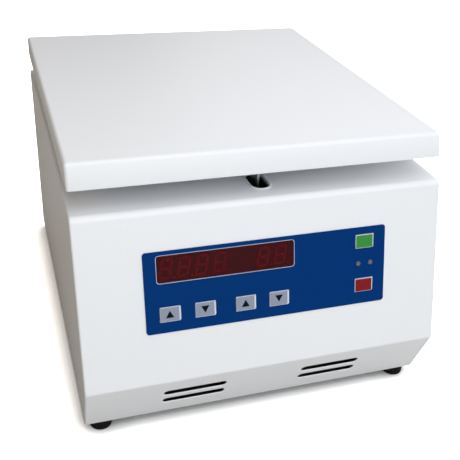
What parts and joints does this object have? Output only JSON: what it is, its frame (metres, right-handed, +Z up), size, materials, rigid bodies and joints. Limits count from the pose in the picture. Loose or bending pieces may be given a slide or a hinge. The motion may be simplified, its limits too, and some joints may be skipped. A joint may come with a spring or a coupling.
{
  "type": "bench centrifuge",
  "caption": "Bench centrifuge: white sheet-metal case with a flat hinged lid, a sloping control panel with display and keys, and an angle rotor in a round steel chamber.",
  "frame": {"origin": "middle of the case's footprint, on the table that the feet stand on", "axes": "+Z up, +Y from the control panel to the rear panel, +X to the right seen from the front"},
  "size_m": [0.27, 0.3408, 0.2065],
  "materials": {
    "white_paint": "satin powder coat",
    "liner_grey": "satin paint",
    "panel_blue": "matt film",
    "window_red": "gloss filter",
    "digit_red": "unlit segments",
    "key_grey": "satin",
    "key_green": "satin",
    "key_red": "satin",
    "lamp_grey": "clear grey",
    "rubber_black": "matt",
    "plastic_black": "moulded",
    "bright_steel": "brushed",
    "plain_steel": "plain",
    "aluminium": "turned",
    "rotor_metal": "anodised",
    "screw_zinc": "zinc",
    "board_green": "solder mask",
    "motor_dark": "satin paint",
    "winding": "enamelled wire"
  },
  "bodies": {
    "housing": {"base_plate": "plain_steel", "board_standoffs": "aluminium", "case_screws": "screw_zinc", "chamber_boot": "rubber_black", "chamber_bowl": "bright_steel", "chamber_collar": "white_paint", "chamber_gasket": "rubber_black", "containment_ring": "plain_steel", "control_board": "board_green", "display_window": "window_red", "drive_board": "board_green", "fan_frame": "plastic_black", "foot_front_left": "rubber_black", "foot_front_right": "rubber_black", "foot_rear_left": "rubber_black", "foot_rear_right": "rubber_black", "foot_screws": "screw_zinc", "hinge_bracket_left": "bright_steel", "hinge_bracket_right": "bright_steel", "hinge_pins": "bright_steel", "housing_shell": "white_paint", "key_switches": "plastic_black", "latch_pocket": "plastic_black", "lid_switch": "plastic_black", "lock_bracket": "plain_steel", "lock_solenoid": "plain_steel", "mains_switch": "plastic_black", "motor_bearings": "bright_steel", "motor_housing": "motor_dark", "motor_isolators": "rubber_black", "motor_mount_plate": "aluminium", "motor_stator": "winding", "panel_overlay": "panel_blue", "power_inlet": "plastic_black", "rear_panel": "white_paint", "run_indicator": "lamp_grey", "speed_display": "digit_red", "stop_indicator": "lamp_grey", "support_posts": "plain_steel", "timer_display": "digit_red"},
    "lid": {"lid_cover": "white_paint", "lid_armour_plate": "plain_steel", "lid_liner": "liner_grey", "liner_screws": "screw_zinc", "lid_striker": "bright_steel", "hinge_leaf_left": "bright_steel", "hinge_leaf_right": "bright_steel"},
    "rotor": {"rotor_head": "rotor_metal", "rotor_nut": "aluminium", "motor_shaft": "bright_steel", "motor_core": "plain_steel"},
    "lock_bolt": {"lock_bolt": "bright_steel"},
    "fan": {"fan_impeller": "plastic_black"},
    "rocker": {"mains_rocker": "plastic_black"},
    "speed_up_key": {"speed_up_key": "key_grey"},
    "speed_down_key": {"speed_down_key": "key_grey"},
    "time_up_key": {"time_up_key": "key_grey"},
    "time_down_key": {"time_down_key": "key_grey"},
    "start_key": {"start_key": "key_green"},
    "stop_key": {"stop_key": "key_red"}
  },
  "joints": [
    {"name": "lid_hinge", "type": "hinge", "parent": "housing", "child": "lid", "pos_m": [0, 0.16065, 0.1815], "axis": [-1, 0, 0], "range_deg": [0, 75]},
    {"name": "rotor_spin", "type": "hinge", "parent": "housing", "child": "rotor", "pos_m": [0, 0.02245, 0.11], "axis": [0, 0, 1], "continuous": true},
    {"name": "lock_bolt_slide", "type": "slide", "parent": "housing", "child": "lock_bolt", "axis": [-1, 0, 0], "range_m": [0, 0.009], "stiffness_N_per_m": 120, "springref_m": -0.003},
    {"name": "fan_spin", "type": "hinge", "parent": "housing", "child": "fan", "pos_m": [-0.052, 0.13895, 0.062], "axis": [0, 1, 0], "continuous": true},
    {"name": "mains_rocker_tilt", "type": "hinge", "parent": "housing", "child": "rocker", "pos_m": [0.052, 0.16345, 0.044], "axis": [-1, 0, 0], "range_deg": [0, 20]},
    {"name": "speed_up_press", "type": "slide", "parent": "housing", "child": "speed_up_key", "axis": [0, 0.969, -0.2472], "range_m": [0, 0.0008], "stiffness_N_per_m": 1200, "springref_m": -0.0006},
    {"name": "speed_down_press", "type": "slide", "parent": "housing", "child": "speed_down_key", "axis": [0, 0.969, -0.2472], "range_m": [0, 0.0008], "stiffness_N_per_m": 1200, "springref_m": -0.0006},
    {"name": "time_up_press", "type": "slide", "parent": "housing", "child": "time_up_key", "axis": [0, 0.969, -0.2472], "range_m": [0, 0.0008], "stiffness_N_per_m": 1200, "springref_m": -0.0006},
    {"name": "time_down_press", "type": "slide", "parent": "housing", "child": "time_down_key", "axis": [0, 0.969, -0.2472], "range_m": [0, 0.0008], "stiffness_N_per_m": 1200, "springref_m": -0.0006},
    {"name": "start_press", "type": "slide", "parent": "housing", "child": "start_key", "axis": [0, 0.969, -0.2472], "range_m": [0, 0.0008], "stiffness_N_per_m": 1200, "springref_m": -0.0006},
    {"name": "stop_press", "type": "slide", "parent": "housing", "child": "stop_key", "axis": [0, 0.969, -0.2472], "range_m": [0, 0.0008], "stiffness_N_per_m": 1200, "springref_m": -0.0006}
  ]
}
